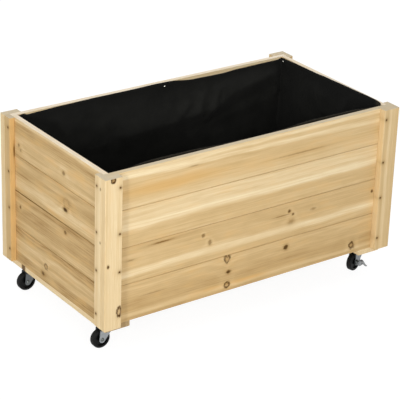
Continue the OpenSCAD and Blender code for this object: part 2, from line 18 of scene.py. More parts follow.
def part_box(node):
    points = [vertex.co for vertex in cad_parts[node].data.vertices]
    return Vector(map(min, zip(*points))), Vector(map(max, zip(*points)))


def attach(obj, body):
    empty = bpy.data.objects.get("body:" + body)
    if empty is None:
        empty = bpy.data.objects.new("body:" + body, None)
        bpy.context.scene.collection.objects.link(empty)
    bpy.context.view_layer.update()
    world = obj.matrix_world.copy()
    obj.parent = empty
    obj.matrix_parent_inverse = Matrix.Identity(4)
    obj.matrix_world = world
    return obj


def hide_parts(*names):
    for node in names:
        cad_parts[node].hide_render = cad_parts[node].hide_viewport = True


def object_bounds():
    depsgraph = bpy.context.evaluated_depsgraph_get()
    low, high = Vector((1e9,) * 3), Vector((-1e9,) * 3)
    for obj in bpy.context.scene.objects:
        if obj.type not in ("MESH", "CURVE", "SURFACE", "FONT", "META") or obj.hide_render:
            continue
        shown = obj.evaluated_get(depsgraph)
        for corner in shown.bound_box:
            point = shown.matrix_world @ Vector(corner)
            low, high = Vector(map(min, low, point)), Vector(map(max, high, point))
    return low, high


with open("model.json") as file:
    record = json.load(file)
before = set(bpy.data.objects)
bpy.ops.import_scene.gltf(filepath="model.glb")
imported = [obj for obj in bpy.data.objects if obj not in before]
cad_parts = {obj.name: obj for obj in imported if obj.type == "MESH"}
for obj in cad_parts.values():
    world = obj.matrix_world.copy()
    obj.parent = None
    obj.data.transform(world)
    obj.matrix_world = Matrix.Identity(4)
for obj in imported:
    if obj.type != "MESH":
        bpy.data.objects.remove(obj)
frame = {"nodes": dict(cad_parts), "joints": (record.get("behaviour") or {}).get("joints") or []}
cad_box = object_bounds()
nodes = frame["nodes"]

# %% [markdown]
# ## Sizes taken from the solids
#
# Wood grain runs along a board and the knots sit at fixed places on it, so
# the finishes need to know where the walls are. Reading those places from
# the solids keeps the finishes right when a size changes. Wood is easier to
# think of in millimetres, so the finishes turn metres into those.

# %% Measure the box
MM = 1000
LENGTH = cad_box[1].x - cad_box[0].x
DEPTH = cad_box[1].y - cad_box[0].y
RIM = cad_box[1].z
WALL_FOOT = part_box("front_board_1")[0].z
LEFT_END = cad_box[0].x
FRONT_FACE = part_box("front_board_1")[0].y
LEFT_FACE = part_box("left_board_1")[0].x
BACK_EDGE = cad_box[1].y
print(f"box {LENGTH:.3f} x {DEPTH:.3f} m, rim at {RIM:.3f} m")

# %% [markdown]
# ## Camera
#
# The picture was taken with a long lens, from the front left and a little
# above. The angles and the distance come from fitting the box's straight
# edges and the rows of nails; the camera leans by two degrees.

# %% Set up the camera
AZIMUTH, ELEVATION, LEAN = -36.08, 24.63, 1.95
CAMERA_PLACE = Vector((-2.4417, -3.3534, 2.1284))
LENS, SENSOR = 157.05, 36
NEAREST, FARTHEST = 0.05, 60


def set_camera():
    data = bpy.data.cameras.new("camera")
    data.lens, data.sensor_width = LENS, SENSOR
    data.clip_start, data.clip_end = NEAREST, FARTHEST
    camera = bpy.data.objects.new("camera", data)
    bpy.context.scene.collection.objects.link(camera)
    a, e, lean = (math.radians(v) for v in (AZIMUTH, ELEVATION, LEAN))
    forward = Vector((-math.sin(a) * math.cos(e), math.cos(a) * math.cos(e),
                      -math.sin(e)))
    level = Vector((math.cos(a), math.sin(a), 0))
    upright = level.cross(forward)
    right = level * math.cos(lean) + upright * math.sin(lean)
    up = right.cross(forward)
    turn = Matrix((right, up, -forward)).transposed()
    camera.matrix_world = Matrix.Translation(CAMERA_PLACE) @ turn.to_4x4()
    bpy.context.scene.camera = camera
    return camera


camera = set_camera()
print("camera looks along", tuple(round(v, 3) for v in
                                  camera.matrix_world.col[2].xyz * -1))

# %% [markdown]
# ## Shader maths as Python
#
# A wood pattern needs a lot of arithmetic between nodes. The small class
# below wraps a socket so that `1 - mask` or `height / 40` adds the Math node
# for it. Any other kind of node comes from one method of the finish. A
# constant is written straight into the socket that needs it.


# %% Helpers for materials
class Value:
    """A number that varies over the surface."""

    def __init__(self, finish, socket):
        self.finish, self.socket = finish, socket

    def math(self, operation, *others, flipped=False):
        values = [self, *others]
        if flipped:
            values.reverse()
        return Value(self.finish, self.finish.node(
            "Math", {"operation": operation}, *values).outputs[0])

    def __add__(self, other):
        return self.math("ADD", other)

    def __sub__(self, other):
        return self.math("SUBTRACT", other)

    def __rsub__(self, other):
        return self.math("SUBTRACT", other, flipped=True)

    def __mul__(self, other):
        return self.math("MULTIPLY", other)

    def __truediv__(self, other):
        return self.math("DIVIDE", other)

    def __rtruediv__(self, other):
        return self.math("DIVIDE", other, flipped=True)

    def __pow__(self, other):
        return self.math("POWER", other)

    __radd__, __rmul__ = __add__, __mul__

    def most(self, other):
        return self.math("MAXIMUM", other)

    def clamped(self):
        self.socket.node.use_clamp = True
        return self


def srgb(*channels):
    """A colour as painters write it, 0 to 255, made linear."""
    def linear(c):
        c /= 255
        return c / 12.92 if c <= 0.04045 else ((c + 0.055) / 1.055) ** 2.4
    return (*[linear(c) for c in channels], 1)


class Finish:
    """A material with one Principled shader, built node by node."""

    def __init__(self, name, **constants):
        self.material = bpy.data.materials.new(name)
        self.material.use_nodes = True
        self.tree = self.material.node_tree
        self.shader = self.tree.nodes["Principled BSDF"]
        for socket, value in constants.items():
            self.shader.inputs[socket.replace("_", " ")].default_value = value

    def feed(self, node, place, value):
        """Links a socket, or writes a constant, into one of a node's inputs."""
        if isinstance(value, Value):
            value = value.socket
        if isinstance(value, bpy.types.NodeSocket):
            self.tree.links.new(value, node.inputs[place])
        elif value is not None:
            node.inputs[place].default_value = value

    def node(self, kind, settings=None, *values, **named):
        made = self.tree.nodes.new("ShaderNode" + kind)
        for key, value in (settings or {}).items():
            setattr(made, key, value)
        for place, value in enumerate(values):
            self.feed(made, place, value)
        for key, value in named.items():
            self.feed(made, key.replace("_", " "), value)
        return made

    def link(self, name, value):
        self.feed(self.shader, name, value)

    def place(self):
        """The surface point in millimetres: x, y and z."""
        point = self.node("TexCoord").outputs["Object"]
        scaled = self.node("VectorMath", {"operation": "SCALE"}, point,
                           Scale=MM)
        parts = self.node("SeparateXYZ", None, scaled.outputs[0])
        return [Value(self, s) for s in parts.outputs]

    def noise(self, x, y, z, detail=2, rough=0.5):
        vector = self.node("CombineXYZ", None, x, y, z)
        made = self.node("TexNoise", {"noise_dimensions": "3D"},
                         vector.outputs[0], Scale=1, Detail=detail,
                         Roughness=rough)
        return Value(self, made.outputs[0])

    def even_noise(self, point, size, detail=2, rough=0.5):
        """Noise of the same size, in millimetres, in every direction."""
        return self.noise(*(v / size for v in point), detail, rough)

    def mix(self, amount, first, second):
        """A Mix node has inputs for each kind of data; 6 and 7 are colours."""
        made = self.node("Mix", {"data_type": "RGBA"})
        for place, value in ((0, amount), (6, first), (7, second)):
            self.feed(made, place, value)
        return made.outputs[2]

    def ramp(self, value, stops):
        made = self.node("ValToRGB", None, value)
        ramp = made.color_ramp
        while len(ramp.elements) < len(stops):
            ramp.elements.new(0.5)
        for element, (place, colour) in zip(ramp.elements, stops):
            element.position = place
            element.color = colour
        return made.outputs[0]

    def bump(self, height, strength, distance):
        made = self.node("Bump", None, Strength=strength, Distance=distance,
                         Height=height)
        self.link("Normal", made.outputs[0])


def dress(name, finish):
    """Gives a CAD node its finish."""
    data = nodes[name].data
    data.materials.clear()
    data.materials.append(finish.material)


# %% [markdown]
# ## Pine
#
# Growth rings are cylinders round the heart of the tree, and a board is a
# flat cut through them. So the pattern is the distance to a heart line that
# runs beside the board, bent a little by noise: on the face it draws long
# lines and arches, on the end of a batten it draws rings. That line is given
# by its height and its depth. Knots push the rings aside. Broad light and
# dark bands are where one board was cut from sapwood or from darker
# heartwood. A band is given as its middle and half its width, in millimetres
# above the foot of the wall, how much lighter it is, and, where it isn't
# level, its slope. A patch of gold is given as its place, its half sizes and
# its strength. The seed shifts the noise, so that no two pieces are alike.
#
# A knot is given as its kind, its place along and up the board, its half
# sizes and its depth of colour. A "ring" is a dark loop round a warmer, paler
# middle and a "heart" is a ring drawn out to a point. A "spot" is dark right
# through. The other kinds fade outward: a "faint" knot, a "streak", which
# hardly bends the grain, and a "stain", which doesn't bend it at all. A "side"
# streak is placed by its depth in the piece instead of its height. Knots stop
# just below the rim, where the sawn top begins.

# %% The pine finish
PINE = [(0.0, srgb(146, 108, 57)), (0.2, srgb(186, 153, 102)),
        (0.5, srgb(211, 181, 131)), (0.8, srgb(231, 207, 163)),
        (1.0, srgb(245, 229, 192))]
GOLD = srgb(218, 168, 92)
KNOT = srgb(74, 45, 0)
KNOT_HEART = srgb(154, 112, 44)
SAWN_TOP = srgb(200, 187, 161)
WHITE_TOP = srgb(247, 234, 212)
RING_PITCH = 5.2
SKIM = 0.6
BEND, WAVE, KNOT_PUSH = 46, 9, 7
RING_AT, RING_HALF = 0.82, 0.42
TINY = 0.0001
BACK_PLANE, RIGHT_PLANE = 300, 480
LATE, STREAK, LINE, CLOUD, FIBRE = -0.12, 0.40, 0.38, 0.30, 0.20
GENTLE = {"streak": 0.2, "side": 0.2, "stain": 0}


def knot_fields(along, up, through, knots, shake, patchy):
    """Dark marks, their warm hearts and the push they give the rings.

    d is 0 in a knot's middle and 1 where its half sizes end.
    """
    dark, heart, push = None, None, None
    for kind, ka, kb, ra, rb, depth in knots:
        across = through if kind == "side" else up
        da, db = (along - ka) / ra, (across - kb) / rb
        if kind == "heart":
            db = db - da.math("ABSOLUTE") ** 0.5 * 0.7 + 0.3
        d = (da * da + db * db + TINY) ** 0.5 + shake
        if kind in ("ring", "heart"):
            edge = (d - RING_AT) / RING_HALF
            mark = (1 - edge * edge).clamped() * patchy * depth
            core = (1.5 - d).clamped() * (0.5 * depth)
        elif kind == "spot":
            mark = ((1.2 - d) * 1.9).clamped() * depth
            core = ((1.9 - d) * 0.8).clamped() * (0.7 * depth)
        else:
            mark = (1 / (1 + d * d * d * d)).clamped() * (0.45 * depth)
            core = (1 / (1 + d * d)).clamped() * (0.8 * depth)
        shove = 1 / (1 + d * d * 0.5)
        if kind in GENTLE:
            shove = shove * GENTLE[kind]
        dark = mark if dark is None else dark.most(mark)
        heart = core if heart is None else heart.most(core)
        push = shove if push is None else push + shove
    return dark, heart, push


def pine(name, grain, heart_at, tone, bands=(), knots=(), gold=(), seed=0,
         pitch=RING_PITCH, contrast=1.0, sawn=SAWN_TOP):
    """A finish for one piece; grain(x, y, z) gives along, up and through."""
    finish = Finish(name, Specular_IOR_Level=0.15)
    spot = finish.place()
    along, up, through = grain(*spot)
    wander = finish.noise(along / 210, up / 90, through / 90 + seed, 2) - 0.5
    streaks = finish.noise(along / 340, up / 9 + seed, through / 9, 3, 0.6)
    lines = finish.noise(along / 170, up / 2.7, through / 2.7 + seed, 2, 0.6)
    fibre = finish.noise(along / 40, up / 0.8, through / 0.8 + seed, 2)
    cloud = finish.noise(along / 80, up / 24, through / 24 + seed, 3, 0.55)
    across = up - heart_at[0] + wander * BEND
    deep = through - heart_at[1]
    radius = (across * across + deep * deep) ** 0.5
    light = None
    wavy = up + wander * WAVE
    for middle, half, lift, *slope in bands:
        level = wavy - along * slope[0] if slope else wavy
        offset = (level - middle) / half
        square = offset * offset
        lobe = lift / (1 + square * square)
        light = lobe if light is None else light + lobe
    if knots:
        shake = (finish.noise(along / 7, up / 5, seed, 2) - 0.5) * 0.9
        patchy = (finish.noise(along / 6, up / 5, seed + 7, 2) * 2.4
                  - 0.3).clamped()
        dark, core, push = knot_fields(along, up, through, knots, shake,
                                       patchy)
        radius = radius + push * KNOT_PUSH
    ring = (radius / pitch).math("FRACT")
    late = ring * ring * ring * (1 - ring) * 6 * streaks * 2
    value = (late * (LATE * contrast) + (streaks - 0.5) * (STREAK * contrast)
             + (lines - 0.5) * (LINE * contrast)
             + (cloud - 0.5) * (CLOUD * contrast)
             + (fibre - 0.5) * (FIBRE * contrast) + (tone + 0.04))
    if light is not None:
        value = value + light
    colour = finish.ramp(value.clamped(), PINE)
    colour = finish.mix(((cloud - 0.52) * 2.4).clamped() * (0.5 * contrast),
                        colour, GOLD)
    for ga, gb, la, lb, amount in gold:
        da, db = (along - ga) / la, (wavy - gb) / lb
        patch = 1 / (1 + (da * da + db * db) ** 2)
        colour = finish.mix(patch * amount, colour, GOLD)
    top = ((spot[2] - (RIM * MM - SKIM)) * 4).clamped()
    if knots:
        below = 1 - top
        colour = finish.mix(core * below, colour, KNOT_HEART)
        colour = finish.mix(dark * below, colour, KNOT)
    colour = finish.mix(top * (cloud + 0.2).clamped(), colour, sawn)
    finish.link("Base Color", colour)
    finish.link("Roughness", 0.52 + fibre * 0.16)
    finish.bump(late * 0.5 + fibre, 0.25, 0.0006)
    return finish


def front_grain(x, y, z):
    return (x - LEFT_END * MM, z - WALL_FOOT * MM,
            y - FRONT_FACE * MM)


def back_grain(x, y, z):
    return (x - LEFT_END * MM, z - WALL_FOOT * MM, y * -1 + BACK_PLANE)


def left_grain(x, y, z):
    return (BACK_EDGE * MM - y, z - WALL_FOOT * MM,
            x - LEFT_FACE * MM)


def right_grain(x, y, z):
    return (BACK_EDGE * MM - y, z - WALL_FOOT * MM, x * -1 + RIGHT_PLANE)


def upright_grain(x, y, z):
    return (z - WALL_FOOT * MM, x, y)


def upright_side_grain(x, y, z):
    return (z - WALL_FOOT * MM, y, x)


def crosswise_grain(x, y, z):
    return (y, x, z)


def lengthwise_grain(x, y, z):
    return (x, y, z)


print("pine is ready:", len(PINE), "tones")

# %% [markdown]
# ## The boards of each wall
#
# Each board is one cut of wood, so each gets its own tone, its own bands and
# its own knots. The numbers are read off the picture board by board: the
# front wall's knots are measured from its left end, the left wall's from the
# back edge. The longest streaks lie in the joints between boards, where dirt
# has darkened them.

# %% Front wall
FRONT_BOARDS = {
    1: dict(tone=0.40, heart_at=(30, 190), seed=1.3,
            bands=[(4, 5, -0.10), (15, 6, 0.22), (36, 14, -0.08),
                   (88, 12, 0.08)],
            knots=[("heart", 377, 89, 9.5, 10, 0.8),
                   ("spot", 382, 53, 6.5, 5, 0.9),
                   ("ring", 378.5, 17.5, 9, 8.5, 0.95),
                   ("spot", 564, 75, 7.5, 7, 0.9),
                   ("ring", 786, 23, 8, 10, 0.95),
                   ("spot", 794, 20, 4, 7, 0.45),
                   ("streak", 155, 58, 34, 2.2, 0.4)],
            gold=[(440, 18, 60, 5, 0.55), (330, 18, 34, 5, 0.4)]),
    2: dict(tone=0.50, heart_at=(170, 210), seed=5.1,
            bands=[(108, 10, -0.06), (128, 9, 0.28), (180, 26, -0.03)],
            knots=[("spot", 300, 175, 5, 5, 0.5),
                   ("spot", 321, 151, 5, 7, 0.42),
                   ("spot", 569, 176, 4.5, 4.5, 0.78),
                   ("spot", 581.5, 165, 3.5, 3.5, 0.7),
                   ("faint", 577, 145, 9, 6, 0.6),
                   ("faint", 648, 164, 9, 3.5, 0.55),
                   ("spot", 845, 167, 4, 4.5, 0.8),
                   ("streak", 178, 190, 26, 1.8, 1.2),
                   ("streak", 86, 163, 10, 1.8, 0.55),
                   ("streak", 545, 168, 22, 1.4, 0.8),
                   ("streak", 800, 100, 90, 1.3, 0.45)]),
    3: dict(tone=0.55, heart_at=(225, 170), seed=8.7,
            bands=[(280, 20, 0.17), (253, 8.5, 0.26), (232, 10, -0.05),
                   (206, 6, -0.03)],
            knots=[("streak", 760, 200, 130, 1.3, 0.6)]),
    4: dict(tone=0.52, heart_at=(335, 140), seed=3.4,
            bands=[(394, 7, 0.25), (385, 5.5, 0.28, -0.019), (306, 6, 0.14),
                   (345, 8, -0.04)],
            knots=[("streak", 267, 371, 14, 1.8, 0.5),
                   ("streak", 600, 333, 70, 2.2, 0.5),
                   ("streak", 830, 300, 90, 1.3, 0.6)],
            gold=[(200, 340, 140, 14, 0.5), (560, 333, 160, 8, 0.18)]),
}
for row, look in FRONT_BOARDS.items():
    dress(f"front_board_{row}", pine(f"pine_front_{row}", front_grain, **look))
print("front wall:", sum(len(b.get("knots", ())) for b in
                         FRONT_BOARDS.values()), "marks")

# %% [markdown]
# The left wall's boards are darker and their grain is stronger. Their sawn
# tops are almost white, and so are those of the two hidden walls.

# %% Left wall
STRONG_GRAIN = 1.45
LEFT_BOARDS = {
    1: dict(tone=0.25, heart_at=(20, 150), seed=12.1,
            bands=[(62, 13, 0.30), (36, 7, 0.20), (15, 10, -0.02),
                   (93, 12, -0.04)],
            knots=[("ring", 196, 45, 9, 8, 0.6),
                   ("spot", 182, 20, 7, 5.5, 0.75),
                   ("spot", 446, 20, 3, 16, 0.5)]),
    2: dict(tone=0.31, heart_at=(150, 170), seed=14.6,
            bands=[(115, 9, 0.16), (150, 18, 0.04), (182, 10, -0.04)],
            knots=[("spot", 290, 180, 6, 5, 0.62),
                   ("spot", 70, 161, 4, 4, 0.6),
                   ("streak", 110, 200, 230, 1.6, 0.8)]),
    3: dict(tone=0.27, heart_at=(265, 150), seed=17.3,
            bands=[(226, 17, 0.36), (285, 14, 0.14), (257, 10, -0.02)],
            knots=[("spot", 290, 241, 9, 5, 1.0),
                   ("ring", 295, 258, 15, 14, 0.22),
                   ("streak", 110, 200, 230, 1.4, 0.5)]),
    4: dict(tone=0.33, heart_at=(340, 160), seed=19.8,
            bands=[(397, 5, 0.40), (340, 18, 0.22), (312, 9, 0.15),
                   (377, 10, -0.05)],
            knots=[("spot", 282.5, 336, 6, 5, 0.5),
                   ("spot", 66, 331, 4, 4.5, 0.45),
                   ("spot", 75, 320, 3, 4, 0.35)]),
}
for row, look in LEFT_BOARDS.items():
    dress(f"left_board_{row}", pine(f"pine_left_{row}", left_grain,
                                    sawn=WHITE_TOP, contrast=STRONG_GRAIN,
                                    **look))
print("left wall: 4 boards")

# %% [markdown]
# ## Walls that the picture hides
#
# The back and right walls show only along the rim. They get boards of the
# same timber. A row has the same tone and bands on both of them, but the
# knots and the noise differ, so that no two look alike from behind either.

# %% Back and right walls
HIDDEN_BOARDS = {
    1: dict(tone=0.42, heart_at=(60, 160),
            bands=[(20, 9, 0.2), (70, 16, -0.08)]),
    2: dict(tone=0.54, heart_at=(130, 190),
            bands=[(160, 14, 0.18), (118, 8, -0.1)]),
    3: dict(tone=0.46, heart_at=(270, 150),
            bands=[(215, 9, 0.26), (272, 18, -0.06)]),
    4: dict(tone=0.52, heart_at=(330, 180),
            bands=[(392, 9, 0.26), (340, 12, -0.06)]),
}
BACK_KNOTS = {
    1: [("ring", 232, 38, 9, 8, 0.9), ("spot", 655, 66, 6, 5, 0.8)],
    2: [("spot", 418, 150, 6, 6, 0.9), ("faint", 742, 131, 9, 7, 0.9)],
    3: [("ring", 590, 238, 10, 9, 0.9), ("streak", 280, 262, 32, 2.4, 0.9)],
    4: [("spot", 130, 344, 5, 5, 0.8), ("streak", 520, 366, 26, 2, 0.8)],
}
RIGHT_KNOTS = {
    1: [("spot", 300, 52, 6, 6, 0.8)],
    2: [("ring", 140, 148, 9, 8, 0.8), ("streak", 330, 172, 26, 2, 0.8)],
    3: [("spot", 236, 262, 5, 5, 0.8)],
    4: [("ring", 345, 338, 8, 9, 0.8)],
}
for row, look in HIDDEN_BOARDS.items():
    look["sawn"] = WHITE_TOP
    dress(f"back_board_{row}", pine(f"pine_back_{row}", back_grain,
                                    knots=BACK_KNOTS[row], seed=30.3 + row * 2,
                                    **look))
    dress(f"right_board_{row}", pine(f"pine_right_{row}", right_grain,
                                     knots=RIGHT_KNOTS[row],
                                     seed=44.9 + row * 3, **look))
print("back and right walls: 8 boards")

# %% [markdown]
# ## Corner battens
#
# The battens are paler and straighter in the grain than the boards. Their
# grain stands upright, so their tops show end grain. The front left one has
# a knot cut through by its top edge and a looped one near its foot. Each
# nail has stained the wood round its head; the nails' places are read from
# their solids.

# %% Where the nails' heads are
STAIN = 3.6
NAIL_STEP = 50
NEAR, HEAD_IN = 1, 0.2


def nail_spots(wall):
    """Height and place along the wall, in mm, of the heads in a batten."""
    low, high = (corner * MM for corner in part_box(wall))
    across = 0 if high.x - low.x > high.y - low.y else 1
    spots = {}
    for v in nodes["nails"].data.vertices:
        point = v.co * MM
        inside = all(low[i] - NEAR < point[i] < high[i] + NEAR
                     for i in range(3))
        face = abs(point[1 - across]) > max(
            abs(low[1 - across]), abs(high[1 - across])) - HEAD_IN
        if inside and face:
            spots.setdefault(round(point.z / NAIL_STEP), []).append(
                (point.z - WALL_FOOT * MM, point[across]))
    return [tuple(sum(c) / len(c) for c in zip(*heads))
            for heads in spots.values()]


print("nails in a batten:", [round(z) for z, _ in
                             nail_spots("front_left_batten")])

# %% [markdown]
# The heart of the tree lies outside a batten, so the rings draw straight
# lines on its faces and wide arcs on its end. Marks are given as kind, height
# above the foot of the wall, place along the wall, half sizes and depth, and
# bands by their place along the wall.

# %% Battens
HEART_OFF = (60, 45)
BATTEN_PITCH, BATTEN_CONTRAST = 3.4, 0.8
FRONT_LEFT_KNOTS = [("ring", 396, LEFT_END * MM + 21.5, 8, 6.5, 1.5),
                    ("spot", 397, LEFT_END * MM + 21.5, 4, 4, 0.3),
                    ("ring", 45, LEFT_END * MM + 41.5, 13.5, 7.6, 1.0),
                    ("spot", 33, LEFT_END * MM + 42.5, 4, 3, 0.8),
                    ("spot", 174, LEFT_END * MM + 9, 4.5, 3, 0.9)]
LEFT_FRONT_MARKS = [("spot", 369.5, -225, 4, 2.2, 0.5),
                    ("spot", 231, -225, 4, 2.2, 0.45)]
BACK_LEFT_SHAKE = [("side", 310, -438, 17, 1.6, 1.6)]
BATTENS = {
    "front_left_batten": dict(tone=0.72, seed=51.0, knots=FRONT_LEFT_KNOTS,
                              bands=[(-447, 3, -0.06), (-425, 7, 0.05)]),
    "left_front_batten": dict(tone=0.76, seed=53.7, knots=LEFT_FRONT_MARKS,
                              bands=[(-222, 3, 0.06), (-210, 4, -0.05)]),
    "front_right_batten": dict(tone=0.62, seed=55.2,
                               bands=[(411, 5, -0.12), (422, 4, 0.08),
                                      (432, 5, -0.05), (446, 6, -0.12)]),
    "right_front_batten": dict(tone=0.62, seed=57.9),
    "back_left_batten": dict(tone=0.72, seed=59.1,
                             bands=[(-434, 6, 0.03), (-444, 4, 0.06)]),
    # The gold band on this batten's side that faces the front is painted light: the orange of
    # light bounced off the boards.
    "left_back_batten": dict(tone=0.42, seed=61.4, knots=BACK_LEFT_SHAKE,
                             gold=[(200, 200.5, 500, 4, 0.4)]),
    "back_right_batten": dict(tone=0.66, seed=63.8),
    "right_back_batten": dict(tone=0.60, seed=66.6),
}
for name, look in BATTENS.items():
    low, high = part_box(name)
    middle = (low + high) * (MM / 2)
    heart = (middle.x + HEART_OFF[0], middle.y + HEART_OFF[1])
    grain = upright_grain
    if high.y - low.y > high.x - low.x:
        heart = (middle.y + HEART_OFF[0], middle.x + HEART_OFF[1])
        grain = upright_side_grain
    stains = [("stain", z, across, STAIN, STAIN, 1.0)
              for z, across in nail_spots(name)]
    look["knots"] = look.get("knots", []) + stains
    dress(name, pine("pine_" + name, grain, heart, pitch=BATTEN_PITCH,
                     contrast=BATTEN_CONTRAST, **look))
print("battens:", len(BATTENS))

# %% [markdown]
# The base is plainer, rougher timber. It takes the same pine finish, with the grain along each
# piece. A dark band lies across either end of the left bearer: partly its darker end grain, and
# partly painted shade from under the wall above it.

# %% Bearers, ledgers and floor slats
for name, tone, end_grain_and_shade, knots in (
        ("left_bearer", 0.80, 0.7,
         [("spot", 166, LEFT_FACE * MM, 8, 12, 0.8)]),
        ("right_bearer", 0.80, 0.02, [("spot", -90, 400, 7, 9, 0.8)])):
    low, high = (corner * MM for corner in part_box(name))
    middle = (low + high) / 2
    # Each end band is partly darker end grain and partly painted shade from under the wall.
    ends = [("stain", y, middle.x, 3, 60, end_grain_and_shade) for y in (low.y, high.y)]
    dress(name, pine("pine_" + name, crosswise_grain, (middle.x, -60), tone,
                     knots=knots + ends, seed=70 + tone * 9))
for name in ("front_ledger", "back_ledger"):
    dress(name, pine("pine_" + name, lengthwise_grain, (260, 20), 0.42,
                     seed=81, contrast=1.2))
for i in range(1, 8):
    low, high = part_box(f"slat_{i}")
    dress(f"slat_{i}", pine(f"pine_slat_{i}", crosswise_grain,
                            (low.x * MM + 12 * i, 40), 0.32 + 0.04 * (i % 3),
                            seed=90 + 3.1 * i, contrast=1.3))
print("base: 2 bearers, 2 ledgers, 7 slats")

# %% [markdown]
# ## Metal
#
# The casters are pressed steel with a thin zinc coat: bright, but slightly cloudy, and duller
# where it was handled. The plate and the fork's crown are painted nearly black and matte:
# painted shade, for the dark under the bearer. Each fork's zinc is painted lighter or darker by
# its own amount: painted light and shade, as each fork stands in different light. Pressed parts
# this small show no brush marks, so noise on the colour and the roughness is enough.


# %% Metal finishes
# Painted shade: the plates, and the forks above their crown, turn nearly black and matte, for
# the dark under the bearer.
SHADE_BLACK = srgb(20, 20, 20)
SHADE_BLACK_FADE = 4
SPECK_SIZE = 0.7
BRIGHT_ZINC, DULL_ZINC = (178, 182, 184), (128, 132, 135)
# Painted light and shade: each fork's zinc is made lighter or darker by how much light it gets,
# not by a different coat.
FORK_PAINTED_SHADE = {"front_left": 1.0, "front_right": 0.80, "back_left": 0.66,
              "back_right": 0.85}
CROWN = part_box("front_left_wheel")[1].z * MM - 2


def metal(name, colour, dull, grain_mm, roughness, shaded_above=None,
          metallic=1.0, shine=0.5):
    finish = Finish(name, Metallic=metallic, Specular_IOR_Level=shine)
    point = finish.place()
    cloud = finish.even_noise(point, grain_mm, 4, 0.6)
    speck = finish.even_noise(point, SPECK_SIZE)
    coat = finish.mix(cloud, srgb(*colour), srgb(*dull))
    rough = roughness + (cloud - 0.5) * 0.24
    # Painted shade: above the given height the metal turns nearly black and matte.
    if shaded_above is not None:
        painted_shade = ((point[2] - shaded_above) / SHADE_BLACK_FADE + cloud * 0.6
                  - 0.3).clamped()
        coat = finish.mix(painted_shade, coat, SHADE_BLACK)
        rough = rough + painted_shade * 0.25
        finish.link("Metallic", 1 - painted_shade * 0.8)
    finish.link("Base Color", coat)
    finish.link("Roughness", rough)
    finish.bump(speck, 0.12, 0.0002)
    return finish


# Each fork is a lit or shaded copy of the same zinc: painted light and shade.
for corner, shine in FORK_PAINTED_SHADE.items():
    dress(corner + "_fork", metal("fork_" + corner,
                                  [c * shine for c in BRIGHT_ZINC],
                                  [c * shine for c in DULL_ZINC], 6, 0.36,
                                  shaded_above=CROWN))
zinc = metal("zinc_coat", BRIGHT_ZINC, DULL_ZINC, 6, 0.32)
# The plates are painted nearly black all over: painted shade.
head = metal("shade_black_head", BRIGHT_ZINC, DULL_ZINC, 6, 0.32, shaded_above=0)
rivet = metal("rivet_steel", (124, 127, 125), (80, 83, 81), 4, 0.38)
ball = metal("ball_steel", (222, 224, 226), (190, 192, 195), 3, 0.16)
lever = metal("lever_steel", (170, 172, 173), (124, 126, 128), 5, 0.33)
pin = metal("pin_steel", (240, 238, 230), (196, 190, 176), 2, 0.25)
nail = metal("nail_steel", (92, 60, 14), (52, 32, 6), 2, 0.8, metallic=0.0,
             shine=0.1)
for name in nodes:
    if name.endswith("_plate"):
        dress(name, head)
    elif name == "caster_screws":
        dress(name, zinc)
    elif name.endswith("_axle") or name == "kingpins":
        dress(name, rivet)
    elif name.endswith("_lever"):
        dress(name, lever)
dress("swivel_balls", ball)
dress("liner_pins", pin)
dress("nails", nail)
print("metal finishes:", len(FORK_PAINTED_SHADE), "for the forks and 7 more")

# %% [markdown]
# ## The black wheels
#
# Each wheel is one black moulding. Its tread is scuffed by the ground, so it
# is greyer and rougher the nearer a point lies to the wheel's outer edge. The
# scuffs could be painted on a UV map; the distance from the wheel's middle
# does without one. The middle's place comes from the joint.

# %% Wheels
SCUFF_SIZE = 2.2
SCUFF_FROM, SCUFF_RISE = 0.93, 9


def wheel_finish(name, centre, radius):
    finish = Finish("black_" + name, Specular_IOR_Level=0.15)
    point = finish.place()
    dx, dy, dz = (v - c * MM for v, c in zip(point, centre))
    reach = (dx * dx + dy * dy + dz * dz) ** 0.5 / (radius * MM)
    scuff = finish.even_noise(point, SCUFF_SIZE, 4, 0.65)
    worn = ((reach - SCUFF_FROM) * SCUFF_RISE).clamped() * scuff
    finish.link("Base Color", finish.mix(worn, srgb(6, 6, 6),
                                         srgb(29, 29, 27)))
    finish.link("Roughness", (0.44 + worn * 0.45).clamped())
    finish.bump(scuff, 0.15, 0.0003)
    return finish


for joint in frame["joints"]:
    if joint["name"].endswith("_roll"):
        name = joint["child"]
        low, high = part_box(name)
        dress(name, wheel_finish(name, joint["pos_m"], (high.z - low.z) / 2))
print("wheels: 4")

# %% [markdown]
# ## The liner
#
# The liner is a bag of thin black non-woven cloth, held to the rim by a few
# pins. It could be simulated, but it hangs against walls that already give
# its shape, so it is built like the real one: a floor panel, whose border is
# pulled up in rows to make the walls. Then the cloth is moved off the wall
# where the real one stands away: it rounds the bottom edge and the corners,
# dips between the pins, and a few long creases run down from the corners.
#
# The bag hangs a little inside the outer faces of the liner's solid, which
# keeps it clear of the walls. CELL is one square of its grid, and SKIN is the
# cloth's thickness.

# %% Sizes of the bag
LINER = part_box("liner")
CELL = 0.006
SKIN = 0.0006
GAP = 0.0019
TOP_GAP = 0.0005
half_x = LINER[1].x - GAP
half_y = LINER[1].y - GAP
floor_z = LINER[0].z + GAP
height = RIM - TOP_GAP - floor_z
print(f"bag {half_x * 2:.3f} x {half_y * 2:.3f} x {height:.3f} m")


# %% [markdown]
# The bag starts as a flat grid, its floor. Each pass extrudes the open border
# straight up by one row, which is how the walls grow out of the floor without
# a seam.


